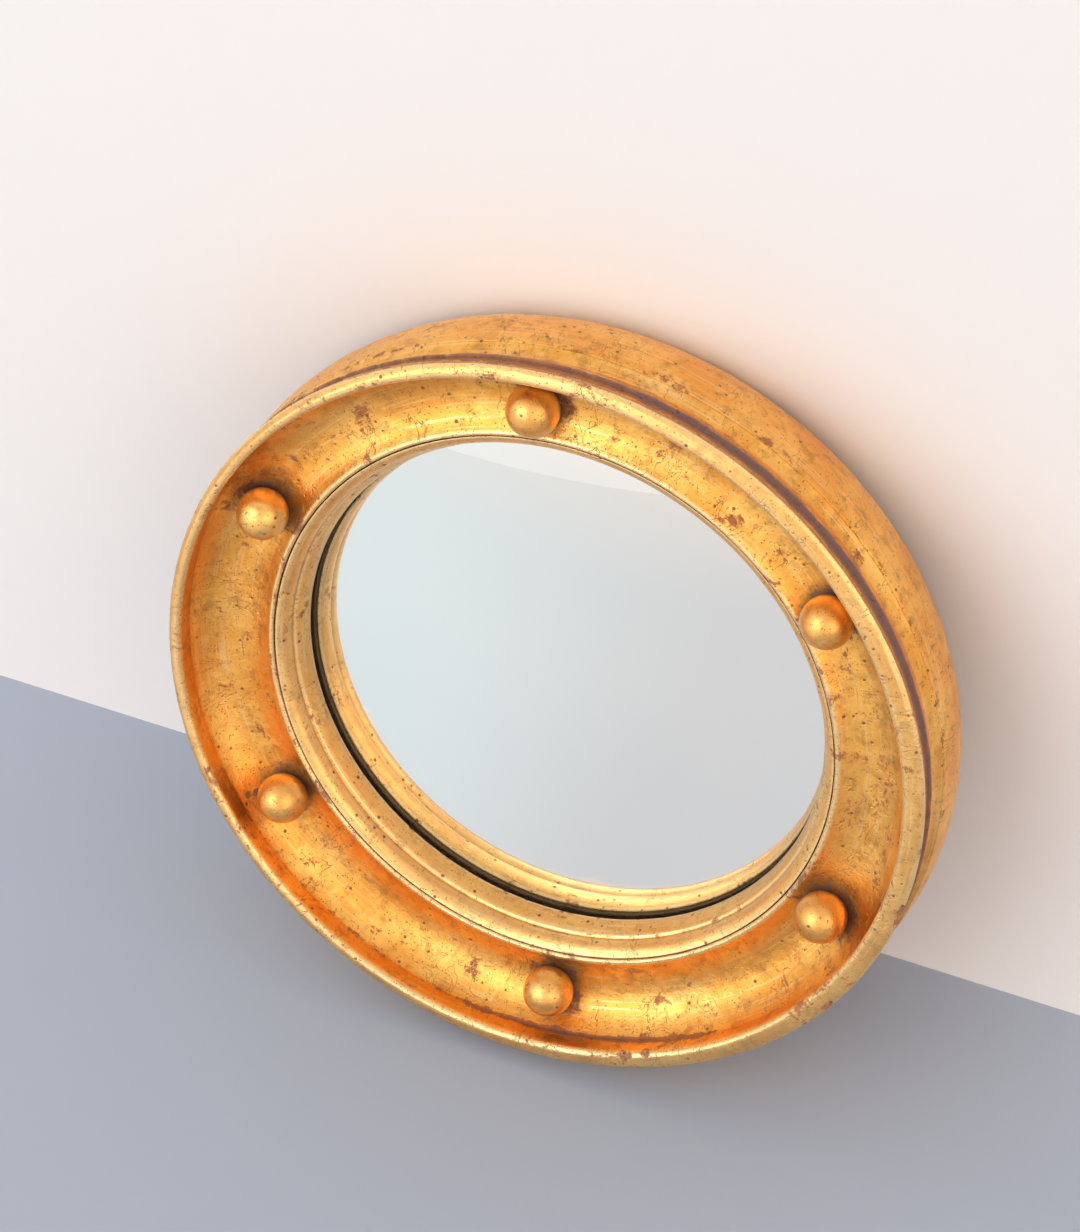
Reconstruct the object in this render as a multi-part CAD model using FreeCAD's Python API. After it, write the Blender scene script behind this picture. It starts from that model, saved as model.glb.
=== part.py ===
import FreeCAD, Part
import math
import os

from FreeCAD import Vector

# A round convex wall mirror in a turned, gilded wooden frame, in millimetres.
# The mirror faces -Y and +Z is up. The origin is the centre of the back plane, where the frame
# meets the wall. Sections are drawn as (r, d): r is the distance from the Y axis and d is the
# depth behind the crest of the rim, so y = d - depth.

# ---------------------------------------------------------------- sight slip, from the glass outwards
SIGHT_R = 75.3              # radius of the sight edge
BAND_B_W = 2.4              # width of the inner band
BAND_B_H = 5.8              # depth of the inner band
BAND_B_BULGE = 0.6          # fullness of the inner band
STEP_W = 0.7                # width of the step between the bands
STEP_DROP = 0.2             # slope across that step
BAND_A_W = 3.2              # width of the outer band
BAND_A_BULGE = 1.3          # fullness of the outer band
LIP_H = 0.9                 # depth of the sight edge's upright lip
LIP_CHAMFER = 0.3           # bevel under the sight edge
SLIP_CLEAR = 0.1            # glue gap between the slip and the front moulding's bore
FLANGE_W = 7.0              # flange of the slip outside the glass's rebate
FLANGE_T = 4.3              # thickness of that flange

# ---------------------------------------------------------------- ridge and cove
RIDGE_D = 12.8              # depth of the ridge's crest behind the rim's crest
RIDGE_W = 0.8               # width of the ridge's crest
RIDGE_CHAMFER = 0.6         # bevel on the ridge's inner side
COVE_W = 21.2               # width of the cove, ridge to quirk
COVE_SAG = 5.4              # how far the cove is hollowed below its chord
COVE_FLOOR_T = 5.3          # wood under the deepest line of the cove

# ---------------------------------------------------------------- rim bead and outer mouldings
QUIRK_D = 7.2               # depth of the quirk between rim and cove
QUIRK_W = 1.4               # quirk to the rim's crest
RIM_IN_W = 1.7              # crest to the rim's inner flank
RIM_OUT_W = 3.2             # crest to the rim's outer edge
RIM_IN_DROP = 1.7           # depth at which the inner flank begins
RIM_OUT_DROP = 1.6          # depth at which the outer flank begins
GROOVE_IN = 1.0             # how far the outer groove lies inside the rim's outer edge
GROOVE_SAG = 0.4            # hollow of that groove's side
GROOVE_D = 6.9              # depth of the groove's far edge
FILLET_OUT = 0.7            # step from the groove out to the fillet
FILLET_SLOPE = 0.3          # slope of that step
FILLET_W = 1.6              # width of the fillet
CAVETTO_SAG = 0.9           # hollow of the cavetto below the fillet

# ---------------------------------------------------------------- back ring
ROLL_PROUD = 2.9            # how far the rounded side stands outside the rim
ROLL_TUCK = 10.0            # how far the side draws in towards the back plane
ROLL_SHOULDER = 8.0         # from the joint to the side's widest line
SPIGOT_H = 4.6              # height of the register under the front moulding
SPIGOT_INSET = 10.1         # joint's outer edge to the register
BACK_LAND_W = 6.1           # width of the flat land that rests on the wall
RECESS_H = 6.0              # depth of the recess in the back
REGISTER_CLEAR = 0.3        # radial clearance of the glued registers

# ---------------------------------------------------------------- glass and what backs it
GLASS_LAP = 3.2             # glass hidden behind the sight edge
GLASS_T = 2.0               # thickness of the glass
DOME_R = 350.0              # radius of the glass's front sphere
GLASS_CLEAR = 0.5           # radial clearance of glass and board in their rebate
SEAT_FELT_T = 1.2           # felt between slip and glass, at the glass's edge
SEAT_FELT_W = 2.3           # width of that felt
SILVER_T = 0.3              # silvering with its backing paint
SILVER_MARGIN = 0.5         # bare glass outside the silvering
PACKING_W = 8.5             # width of the cork packing ring
PACKING_T = 3.73            # thickness of the cork at its rim
BOARD_T = 2.5               # thickness of the backboard

# ---------------------------------------------------------------- balls and their dowels
BALL_COUNT = 6
BALL_R = 7.15               # radius of a turned ball
BALL_OFFSET = -1.1          # circle of balls, outwards from the middle of the cove
BALL_SINK = 0.8             # how far a ball is let into the cove
BALL_GLUE = 0.05            # glue gap round a ball's socket
PEG_R = 1.5                 # radius of a ball's dowel
PEG_CLEAR = 0.05            # radial clearance of the dowel
PEG_IN_BALL = 4.7           # dowel length above the bottom of the ball
PEG_IN_RING = 3.6           # dowel length below the bottom of the ball
PEG_END = 0.2               # room at each end of the dowel

# ---------------------------------------------------------------- turn buttons
BUTTON_COUNT = 4
BUTTON_INSET = 7.5          # rebate's wall to the button screws
BUTTON_REACH = 9.5          # pivot to the centre of the tip
BUTTON_PIVOT_R = 4.2        # rounded end at the pivot
BUTTON_TIP_R = 3.4          # rounded tip over the board
BUTTON_T = 1.5              # thickness of the brass
BUTTON_PLAY = 0.05          # axial play on each side
SHANK_R = 1.45              # radius of every screw's shank
BORE_CLEAR = 0.08           # running clearance of a button on its shank
PILOT_CLEAR = 0.05          # clearance of a shank in the wood
BUTTON_SHANK_L = 7.5        # length of a button screw under its head
HEAD_R = 3.0                # radius of a screw head
HEAD_H = 1.3                # height of a screw head
SLOT_W = 0.6                # width of the screwdriver slot
SLOT_H = 0.6                # depth of the screwdriver slot

# ---------------------------------------------------------------- wall hanger
RING_WIRE_R = 1.0           # wire radius of the hanging ring
RING_HALF_W = 5.5           # half width of the ring, on the wire's centre line
RING_L = 10.0               # pivot to the far end of the ring, on the centre line
RING_CORNER = 1.8           # corner radius of the ring, on the centre line
RING_LIFT = 2.3             # pivot above the recess floor
PIVOT_UP = 8.2              # rebate's wall to the ring's pivot
BARREL_HALF = 3.4           # half length of the rolled barrel
BARREL_WALL = 0.9           # wall of the barrel
RING_CLEAR = 0.06           # running clearance of the wire in the barrel
PLATE_T = 1.0               # thickness of the hanger plate
PLATE_HALF_W = 13.5         # half width of the plate
PLATE_UP = 1.4              # rebate's wall to the lower edge of the plate's ears
PLATE_STRIP = 1.9           # height of the strip under the barrel, from the pivot down
PLATE_TOP = 1.0             # height of the plate above the pivot
EAR_W = 6.4                 # width of each ear
HANGER_SCREW_IN = 3.2       # end of the plate to its screw
HANGER_SCREW_UP = 3.3       # screws above the plate's lower edge
HANGER_HEAD_R = 2.5         # radius of the hanger screws' heads
HANGER_SHANK_L = 8.0        # length of a hanger screw under its head
NOTCH_SIDE = 1.7            # room each side of the raised ring in its notch
NOTCH_END = 1.0             # room above the raised ring in its notch

# ---------------------------------------------------------------- derived radii
step_r = SIGHT_R + BAND_B_W
slip_r = step_r + BAND_A_W
bore_r = slip_r + SLIP_CLEAR
ridge_in_r = bore_r + RIDGE_CHAMFER
ridge_out_r = ridge_in_r + RIDGE_W
quirk_r = ridge_out_r + COVE_W
crest_r = quirk_r + QUIRK_W
rim_out_r = crest_r + RIM_OUT_W
groove_r = rim_out_r - GROOVE_IN
fillet_r = groove_r + FILLET_OUT
roll_max_r = rim_out_r + ROLL_PROUD
roll_rear_r = roll_max_r - ROLL_TUCK
recess_r = roll_rear_r - BACK_LAND_W
glass_r = SIGHT_R + GLASS_LAP
rebate_r = glass_r + GLASS_CLEAR
flange_r = rebate_r + FLANGE_W

# ---------------------------------------------------------------- the cove's circle, in (r, d)
cove_chord = math.hypot(COVE_W, RIDGE_D - QUIRK_D)
cove_arc_r = cove_chord ** 2 / (8 * COVE_SAG) + COVE_SAG / 2
cove_rise = (cove_arc_r - COVE_SAG) / cove_chord
cove_r = (ridge_out_r + quirk_r) / 2 - cove_rise * (RIDGE_D - QUIRK_D)
cove_d = (RIDGE_D + QUIRK_D) / 2 - cove_rise * COVE_W

# ---------------------------------------------------------------- derived depths
moulding_back_d = cove_d + cove_arc_r + COVE_FLOOR_T
seat_d = moulding_back_d - SPIGOT_H
roll_mid_d = seat_d + ROLL_SHOULDER
flange_seat_d = moulding_back_d + FLANGE_T
sight_d = flange_seat_d - LIP_H
step_d = sight_d - BAND_B_H
slip_top_d = RIDGE_D + RIDGE_CHAMFER + SLIP_CLEAR
glass_edge_d = flange_seat_d + SEAT_FELT_T
dome_d = glass_edge_d + math.sqrt(DOME_R ** 2 - glass_r ** 2)
glass_back = DOME_R - GLASS_T
silver_back = glass_back - SILVER_T
silver_r = glass_r - SILVER_MARGIN
packing_r = silver_r - PACKING_W


def dome(radius, r):
    """Depth of a sphere about the glass's centre, at the distance r from the axis."""
    return dome_d - math.sqrt(radius ** 2 - r ** 2)


board_d = dome(silver_back, silver_r) + PACKING_T
floor_d = board_d + BOARD_T
depth = floor_d + RECESS_H
roll_half_d = depth - roll_mid_d
seat_r = roll_rear_r + ROLL_TUCK * math.sqrt(1 - (ROLL_SHOULDER / roll_half_d) ** 2)
spigot_r = seat_r - SPIGOT_INSET

# ---------------------------------------------------------------- derived places
floor_y = -RECESS_H
ball_r = (ridge_out_r + quirk_r) / 2 + BALL_OFFSET
ball_d = cove_d + math.sqrt((cove_arc_r + BALL_SINK - BALL_R) ** 2 - (ball_r - cove_r) ** 2)
ball_y = ball_d - depth
ball_angles = [90 + i * 360 / BALL_COUNT for i in range(BALL_COUNT)]
peg_top_d = ball_d + BALL_R - PEG_IN_BALL
peg_end_d = ball_d + BALL_R + PEG_IN_RING
button_pitch_r = rebate_r + BUTTON_INSET
button_angles = [45 + i * 360 / BUTTON_COUNT for i in range(BUTTON_COUNT)]
button_y = floor_y + BUTTON_PLAY
button_head_y = button_y + BUTTON_T + BUTTON_PLAY
pivot_z = rebate_r + PIVOT_UP
pivot_y = floor_y + RING_LIFT
barrel_bore = RING_WIRE_R + RING_CLEAR
barrel_r = barrel_bore + BARREL_WALL
plate_bottom_z = rebate_r + PLATE_UP
plate_y = floor_y + PLATE_T
hanger_screw_x = PLATE_HALF_W - HANGER_SCREW_IN
ear_inner = PLATE_HALF_W - EAR_W
hanger_screw_z = plate_bottom_z + HANGER_SCREW_UP
notch_half = RING_HALF_W + RING_WIRE_R + NOTCH_SIDE
notch_top = pivot_z + RING_L + RING_WIRE_R + NOTCH_END

os.makedirs("parts", exist_ok=True)
print("depth", round(depth, 3), "crest", round(crest_r, 3), "roll", round(roll_max_r, 3),
      "ball", round(ball_r, 3), round(ball_d, 3), "seat", round(seat_r, 3), round(seat_d, 3),
      "floor", round(floor_d, 3), "pivot", round(pivot_z, 3))

AXIS = Vector(0, 1, 0)
ORIGIN = Vector(0, 0, 0)


def at(r, d):
    """A point of a section, in the XY plane."""
    return Vector(r, d - depth, 0)


def line(p, q):
    return Part.LineSegment(p, q).toShape()


def arc(p, m, q):
    return Part.Arc(p, m, q).toShape()


def bulged(p, q, sag):
    """The arc from p to q whose middle lies sag to the right of the way from p to q."""
    way = q.sub(p)
    right = Vector(way.y, -way.x, 0).normalize()
    middle = p.add(q).multiply(0.5).add(right.multiply(sag))
    return arc(p, middle, q)


def crest_arc(flank):
    """The arc from the rim's crest, where it lies level, to a flank's first point."""
    top = at(crest_r, 0)
    across = flank.x - top.x
    drop = flank.y - top.y
    radius = (across ** 2 + drop ** 2) / (2 * drop)
    half = math.atan2(drop, abs(across))
    side = math.copysign(1, across)
    middle = top.add(Vector(side * radius * math.sin(half), radius * (1 - math.cos(half)), 0))
    return arc(top, middle, flank)


def turned(edges):
    """The solid that a closed section sweeps round the Y axis."""
    face = Part.Face(Part.Wire(Part.__sortEdges__(edges)))
    solid = face.revolve(ORIGIN, AXIS, 360)
    if solid.Volume < 0:
        solid.reverse()
    return solid


def on_ring(radius, y, degrees):
    """A point on a circle about the Y axis, counted from +X towards +Z."""
    a = math.radians(degrees)
    return Vector(radius * math.cos(a), y, radius * math.sin(a))


def rod(radius, start_y, end_y, x, z):
    """A cylinder along Y."""
    return Part.makeCylinder(radius, end_y - start_y, Vector(x, start_y, z), AXIS)


def save(shape, name):
    shape = shape.removeSplitter()
    assert shape.isValid() and shape.Volume > 0, name
    shape.exportStep("parts/" + name + ".step")
    print(name, round(shape.Volume, 1))




def dome_arc(radius, r1, r2):
    return arc(at(r1, dome(radius, r1)), at((r1 + r2) / 2, dome(radius, (r1 + r2) / 2)),
               at(r2, dome(radius, r2)))


# ---------------------------------------------------------------- back ring
# its side is a quarter of an ellipse and a little more, from the joint to the back plane
roll_widest = at(roll_max_r, roll_mid_d)
roll_rear = at(roll_rear_r, depth)
roll_ends = [roll_rear, roll_widest] if roll_half_d > ROLL_TUCK else [roll_widest, roll_rear]
roll = Part.Ellipse(roll_ends[0], roll_ends[1], at(roll_rear_r, roll_mid_d))
turns = sorted([roll.parameter(at(seat_r, seat_d)), roll.parameter(roll_rear)])
roll_edge = Part.ArcOfEllipse(roll, turns[0], turns[1])
if roll_edge.value((turns[0] + turns[1]) / 2).x < roll_rear_r:
    roll_edge = Part.ArcOfEllipse(roll, turns[1], turns[0])
register_r = spigot_r + REGISTER_CLEAR
flange_bore = flange_r + REGISTER_CLEAR
back_ring = turned([
    roll_edge.toShape(),
    line(at(roll_rear_r, depth), at(recess_r, depth)),
    line(at(recess_r, depth), at(recess_r, floor_d)),
    line(at(recess_r, floor_d), at(rebate_r, floor_d)),
    line(at(rebate_r, floor_d), at(rebate_r, flange_seat_d)),
    line(at(rebate_r, flange_seat_d), at(flange_bore, flange_seat_d)),
    line(at(flange_bore, flange_seat_d), at(flange_bore, moulding_back_d)),
    line(at(flange_bore, moulding_back_d), at(register_r, moulding_back_d)),
    line(at(register_r, moulding_back_d), at(register_r, seat_d)),
    line(at(register_r, seat_d), at(seat_r, seat_d)),
])
# notch for the raised hanging ring, cut through the back land from the recess
notch = Part.makeBox(2 * notch_half, RECESS_H, notch_top - hanger_screw_z,
                     Vector(-notch_half, floor_y, hanger_screw_z))
back_ring = back_ring.cut(notch)
for a in button_angles:
    p = on_ring(button_pitch_r, 0, a)
    back_ring = back_ring.cut(rod(SHANK_R + PILOT_CLEAR, button_head_y - BUTTON_SHANK_L - PEG_END,
                                  floor_y, p.x, p.z))
for side in (-1, 1):
    back_ring = back_ring.cut(rod(SHANK_R + PILOT_CLEAR, plate_y - HANGER_SHANK_L - PEG_END,
                                  floor_y, side * hanger_screw_x, hanger_screw_z))
save(back_ring, "back_ring")

# ---------------------------------------------------------------- front moulding
inner_flank = at(crest_r - RIM_IN_W, RIM_IN_DROP)
outer_flank = at(rim_out_r, RIM_OUT_DROP)
quirk = at(quirk_r, QUIRK_D)
ridge_out = at(ridge_out_r, RIDGE_D)
ridge_in = at(ridge_in_r, RIDGE_D)
groove = at(groove_r, GROOVE_D)
fillet_top = at(fillet_r, GROOVE_D + FILLET_SLOPE)
fillet_end = at(fillet_r, GROOVE_D + FILLET_SLOPE + FILLET_W)
front_moulding = turned([
    bulged(quirk, ridge_out, COVE_SAG),
    line(ridge_out, ridge_in),
    line(ridge_in, at(bore_r, RIDGE_D + RIDGE_CHAMFER)),
    line(at(bore_r, RIDGE_D + RIDGE_CHAMFER), at(bore_r, moulding_back_d)),
    line(at(bore_r, moulding_back_d), at(spigot_r, moulding_back_d)),
    line(at(spigot_r, moulding_back_d), at(spigot_r, seat_d)),
    line(at(spigot_r, seat_d), at(seat_r, seat_d)),
    bulged(at(seat_r, seat_d), fillet_end, CAVETTO_SAG),
    line(fillet_end, fillet_top),
    line(fillet_top, groove),
    bulged(groove, outer_flank, GROOVE_SAG),
    crest_arc(outer_flank),
    crest_arc(inner_flank),
    line(inner_flank, quirk),
])
for a in ball_angles:
    c = on_ring(ball_r, ball_y, a)
    front_moulding = front_moulding.cut(Part.makeSphere(BALL_R + BALL_GLUE, c))
    front_moulding = front_moulding.cut(rod(PEG_R + PEG_CLEAR, ball_y, peg_end_d + PEG_END - depth,
                                            c.x, c.z))
save(front_moulding, "front_moulding")

# ---------------------------------------------------------------- sight slip
slip_top = at(slip_r, slip_top_d)
step_out = at(step_r, step_d)
step_in = at(step_r - STEP_W, step_d + STEP_DROP)
sight = at(SIGHT_R, sight_d)
lip = at(SIGHT_R, flange_seat_d - LIP_CHAMFER)
sight_slip = turned([
    bulged(slip_top, step_out, -BAND_A_BULGE),
    line(step_out, step_in),
    bulged(step_in, sight, -BAND_B_BULGE),
    line(sight, lip),
    line(lip, at(SIGHT_R + LIP_CHAMFER, flange_seat_d)),
    line(at(SIGHT_R + LIP_CHAMFER, flange_seat_d), at(flange_r, flange_seat_d)),
    line(at(flange_r, flange_seat_d), at(flange_r, moulding_back_d)),
    line(at(flange_r, moulding_back_d), at(slip_r, moulding_back_d)),
    line(at(slip_r, moulding_back_d), slip_top),
])
save(sight_slip, "sight_slip")

# ---------------------------------------------------------------- balls, clockwise from the top
for i, a in enumerate(ball_angles):
    number = str((BALL_COUNT - i) % BALL_COUNT + 1)
    c = on_ring(ball_r, ball_y, a)
    hole = rod(PEG_R + PEG_CLEAR, peg_top_d - PEG_END - depth, ball_y + BALL_R + 1, c.x, c.z)
    save(Part.makeSphere(BALL_R, c).cut(hole), "ball_" + number)
    save(rod(PEG_R, peg_top_d - depth, peg_end_d - depth, c.x, c.z), "ball_peg_" + number)

# ---------------------------------------------------------------- glass, silvering, packing, board
convex_glass = turned([
    dome_arc(DOME_R, 0, glass_r),
    line(at(glass_r, dome(DOME_R, glass_r)), at(glass_r, dome(glass_back, glass_r))),
    dome_arc(glass_back, glass_r, 0),
    line(at(0, dome(glass_back, 0)), at(0, dome(DOME_R, 0))),
])
save(convex_glass, "convex_glass")

silver_coat = turned([
    dome_arc(glass_back, 0, silver_r),
    line(at(silver_r, dome(glass_back, silver_r)), at(silver_r, dome(silver_back, silver_r))),
    dome_arc(silver_back, silver_r, 0),
    line(at(0, dome(silver_back, 0)), at(0, dome(glass_back, 0))),
])
save(silver_coat, "silver_coat")

felt_r = glass_r - SEAT_FELT_W
glass_seat_felt = turned([
    line(at(felt_r, flange_seat_d), at(glass_r, flange_seat_d)),
    line(at(glass_r, flange_seat_d), at(glass_r, dome(DOME_R, glass_r))),
    dome_arc(DOME_R, glass_r, felt_r),
    line(at(felt_r, dome(DOME_R, felt_r)), at(felt_r, flange_seat_d)),
])
save(glass_seat_felt, "glass_seat_felt")

packing_ring = turned([
    dome_arc(silver_back, packing_r, silver_r),
    line(at(silver_r, dome(silver_back, silver_r)), at(silver_r, board_d)),
    line(at(silver_r, board_d), at(packing_r, board_d)),
    line(at(packing_r, board_d), at(packing_r, dome(silver_back, packing_r))),
])
save(packing_ring, "packing_ring")

backboard = rod(glass_r, board_d - depth, floor_y, 0, 0)
save(backboard, "backboard")


# ---------------------------------------------------------------- screws
def screw(x, z, head_y, head_r, length):
    """A round-headed screw that points towards -Y, with the underside of its head at head_y."""
    sphere_r = (head_r ** 2 + HEAD_H ** 2) / (2 * HEAD_H)
    ball = Part.makeSphere(sphere_r, Vector(x, head_y + HEAD_H - sphere_r, z))
    head = ball.common(rod(head_r, head_y, head_y + HEAD_H + 1, x, z))
    slot = Part.makeBox(2 * head_r, SLOT_H + 1, SLOT_W,
                        Vector(x - head_r, head_y + HEAD_H - SLOT_H, z - SLOT_W / 2))
    tip = Part.makeCone(0.3, SHANK_R, SHANK_R * 2, Vector(x, head_y - length, z), AXIS)
    shank = rod(SHANK_R, head_y - length + SHANK_R * 2, head_y, x, z)
    return head.cut(slot).fuse([shank, tip])


# ---------------------------------------------------------------- turn buttons over the board
def turn_button(angle):
    """A flat brass bar with round ends and straight, tangent sides, pointing at the axis."""
    p = on_ring(button_pitch_r, button_y, angle)
    lean = math.asin((BUTTON_PIVOT_R - BUTTON_TIP_R) / BUTTON_REACH)
    side = Vector(math.sin(lean), 0, math.cos(lean))
    far = Vector(BUTTON_REACH, 0, 0)
    mirror = Vector(side.x, 0, -side.z)
    pivot_up = side * BUTTON_PIVOT_R
    tip_up = far + side * BUTTON_TIP_R
    tip_down = far + mirror * BUTTON_TIP_R
    pivot_down = mirror * BUTTON_PIVOT_R
    outline = Part.Wire([
        line(pivot_up, tip_up),
        arc(tip_up, far + Vector(BUTTON_TIP_R, 0, 0), tip_down),
        line(tip_down, pivot_down),
        arc(pivot_down, Vector(-BUTTON_PIVOT_R, 0, 0), pivot_up),
    ])
    bar = Part.Face(outline).extrude(Vector(0, BUTTON_T, 0))
    bar = bar.cut(rod(SHANK_R + BORE_CLEAR, -1, BUTTON_T + 1, 0, 0))
    bar.rotate(ORIGIN, AXIS, 180 - angle)
    bar.translate(p)
    return bar


for i, a in enumerate(button_angles):
    p = on_ring(button_pitch_r, 0, a)
    save(turn_button(a), "turn_button_" + str(i + 1))
    save(screw(p.x, p.z, button_head_y, HEAD_R, BUTTON_SHANK_L), "turn_button_screw_" + str(i + 1))


# ---------------------------------------------------------------- wall hanger
strip_z = pivot_z - PLATE_STRIP
top_z = pivot_z + PLATE_TOP
plate = Part.makeBox(2 * PLATE_HALF_W, PLATE_T, top_z - strip_z,
                     Vector(-PLATE_HALF_W, floor_y, strip_z))
for side in (-1, 1):
    ear_x = ear_inner if side > 0 else -PLATE_HALF_W
    plate = plate.fuse(Part.makeBox(PLATE_HALF_W - ear_inner, PLATE_T, top_z - plate_bottom_z,
                                    Vector(ear_x, floor_y, plate_bottom_z)))
X_AXIS = Vector(1, 0, 0)
barrel_start = Vector(-BARREL_HALF, pivot_y, pivot_z)
barrel = Part.makeCylinder(barrel_r, 2 * BARREL_HALF, barrel_start, X_AXIS)
web = Part.makeBox(2 * BARREL_HALF, RING_LIFT, barrel_r,
                   Vector(-BARREL_HALF, floor_y, pivot_z - barrel_r))
barrel = barrel.fuse(web)
plate = plate.fuse(barrel).cut(Part.makeCylinder(barrel_bore, 2 * BARREL_HALF, barrel_start, X_AXIS))
for side in (-1, 1):
    plate = plate.cut(rod(SHANK_R + PILOT_CLEAR, floor_y, plate_y, side * hanger_screw_x, hanger_screw_z))
save(plate, "hanger_plate")


def wire_run(p, q):
    """A straight stretch of the ring's wire."""
    way = q.sub(p)
    return Part.makeCylinder(RING_WIRE_R, way.Length, p, way)


def wire_bend(centre, start, degrees):
    """A bend of the ring's wire about an axis along Y through centre."""
    ring = Part.makeCircle(RING_WIRE_R, start, Vector(0, 1, 0).cross(start.sub(centre)))
    return Part.Face(Part.Wire(ring)).revolve(centre, AXIS, degrees)


corner_z = pivot_z - RING_CORNER
corner_x = RING_HALF_W - RING_CORNER
bow_z = pivot_z - RING_L + RING_HALF_W
top_left = Vector(-corner_x, pivot_y, pivot_z)
top_right = Vector(corner_x, pivot_y, pivot_z)
left = Vector(-RING_HALF_W, pivot_y, corner_z)
right = Vector(RING_HALF_W, pivot_y, corner_z)
bow_left = Vector(-RING_HALF_W, pivot_y, bow_z)
bow_right = Vector(RING_HALF_W, pivot_y, bow_z)
hanger_ring = wire_run(top_left, top_right).fuse([
    wire_run(left, bow_left),
    wire_run(right, bow_right),
    wire_bend(Vector(corner_x, pivot_y, corner_z), top_right, 90),
    wire_bend(Vector(-corner_x, pivot_y, corner_z), top_left, -90),
    wire_bend(Vector(0, pivot_y, bow_z), bow_right, 180),
])
save(hanger_ring, "hanger_ring")

for i, side in enumerate((-1, 1)):
    save(screw(side * hanger_screw_x, hanger_screw_z, plate_y, HANGER_HEAD_R, HANGER_SHANK_L),
         "hanger_screw_" + str(i + 1))
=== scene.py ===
# %% [markdown]
# # A round convex mirror in a worn gilded frame
# The wooden frame is turned: a large roll at the back, a front moulding with a hollow cove, and a
# narrow slip round the glass. The construction model gives every piece its place and size. This
# lesson dresses it: surfaces of revolution worked out on grids, a little unevenness as a hand-made
# frame has, and one gilding finish whose wear follows the edges and hollows.

import math

import bpy
import numpy as np
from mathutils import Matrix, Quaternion, Vector


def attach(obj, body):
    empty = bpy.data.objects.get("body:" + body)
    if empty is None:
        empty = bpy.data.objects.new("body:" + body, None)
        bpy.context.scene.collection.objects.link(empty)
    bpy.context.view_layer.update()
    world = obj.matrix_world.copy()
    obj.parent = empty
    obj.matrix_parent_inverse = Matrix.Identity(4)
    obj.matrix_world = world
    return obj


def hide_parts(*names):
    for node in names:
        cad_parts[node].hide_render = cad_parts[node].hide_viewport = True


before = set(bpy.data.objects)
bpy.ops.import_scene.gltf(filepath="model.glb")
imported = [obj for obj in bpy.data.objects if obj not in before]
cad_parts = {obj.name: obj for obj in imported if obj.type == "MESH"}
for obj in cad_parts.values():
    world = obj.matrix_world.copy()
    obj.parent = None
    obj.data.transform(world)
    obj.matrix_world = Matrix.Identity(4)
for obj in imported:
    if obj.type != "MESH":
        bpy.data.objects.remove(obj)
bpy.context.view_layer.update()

# %% [markdown]
# ## Units and colours
# Sections are drawn as (r, d): r is the distance from the mirror's axis and d the depth behind the
# crest of the rim, both in millimetres, so a point lies at y = d - DEPTH. Colours are written as a
# paint chart gives them, from 0 to 255, and turned into the linear light that the shaders use.

# %% Units and colours
MM = 0.001
DEPTH = 40.955                  # crest of the rim to the back plane
FIXED = "frame"                 # the body that carries everything that doesn't move


def linear(r, g, b):
    """A 0-255 colour as linear light: divide by 255, then undo the display's curve."""
    parts = [c / 255 for c in (r, g, b)]
    return (*[c / 12.92 if c <= 0.04045 else ((c + 0.055) / 1.055) ** 2.4 for c in parts], 1.0)


# %% [markdown]
# ## Camera
# The photograph looks down on the mirror from its upper right with a moderately long lens. A
# camera in Blender looks along its own -Z, so it is aimed with a track quaternion and then rolled
# about its line of sight.

# %% Camera
CAMERA_AT = Vector((0.33912, -0.81314, 0.54983))
AIM_AT = Vector((-0.01321, 0.0, 0.00993))
CAMERA_ROLL = math.radians(1.511)
FOCAL_PIXELS = 3800
LONG_SIDE_PIXELS = 1232
SENSOR = 36                     # mm, along the long side

camera_data = bpy.data.cameras.new("camera")
camera_data.sensor_width = SENSOR
camera_data.lens = FOCAL_PIXELS / LONG_SIDE_PIXELS * SENSOR
camera_data.clip_start = 0.05
camera_data.clip_end = 60
camera = bpy.data.objects.new("camera", camera_data)
bpy.context.collection.objects.link(camera)
sight_line = AIM_AT - CAMERA_AT
camera.rotation_mode = "QUATERNION"
camera.rotation_quaternion = (Quaternion(sight_line.normalized(), CAMERA_ROLL)
                              @ sight_line.to_track_quat("-Z", "Y"))
camera.location = CAMERA_AT
bpy.context.scene.camera = camera
print("lens", round(camera_data.lens, 1), "mm at", round(sight_line.length, 3), "m")

# %% [markdown]
# ## Light
# One broad, cool window to the left and in front, and a weaker, warm lamp low on the right, which
# tints the shadow that the window leaves. Large lamps give soft shadows and long highlights on the
# gold. The pale room all round comes further down. Rays that have come through glass pass the
# lamps by, because the room's tone alone makes the picture in the mirror.

# %% Light


def soft_lamp(name, place, size, watts, colour):
    """A square area lamp at a place, turned to the object."""
    data = bpy.data.lights.new(name, "AREA")
    data.size = size
    data.energy = watts
    data.color = colour[:3]
    lamp = bpy.data.objects.new(name, data)
    lamp.location = place
    lamp.rotation_mode = "QUATERNION"
    lamp.rotation_quaternion = (-Vector(place)).to_track_quat("-Z", "Y")
    lamp.visible_transmission = False
    bpy.context.collection.objects.link(lamp)


soft_lamp("window", (-0.95, -1.90, 0.55), 1.8, 20, linear(250, 250, 253))
soft_lamp("warm_fill", (1.35, -1.45, 0.35), 1.4, 9, linear(255, 208, 160))
bpy.context.scene.view_settings.view_transform = "Standard"

# %% [markdown]
# ## Sections of the turned rings
# Gesso and leaf round every corner a little. Each section is drawn with straight lines and arcs,
# walked in small steps, and its corners are softened by averaging each point with its neighbours.
# The bend left over tells where the leaf wears and is painted pale as a highlight (crests) and
# where dirt and painted shade gather (hollows), and the points of the final section are gathered where it
# bends.

# %% Drawing a section
WALK = 0.1                      # step in mm when a section is walked


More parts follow.
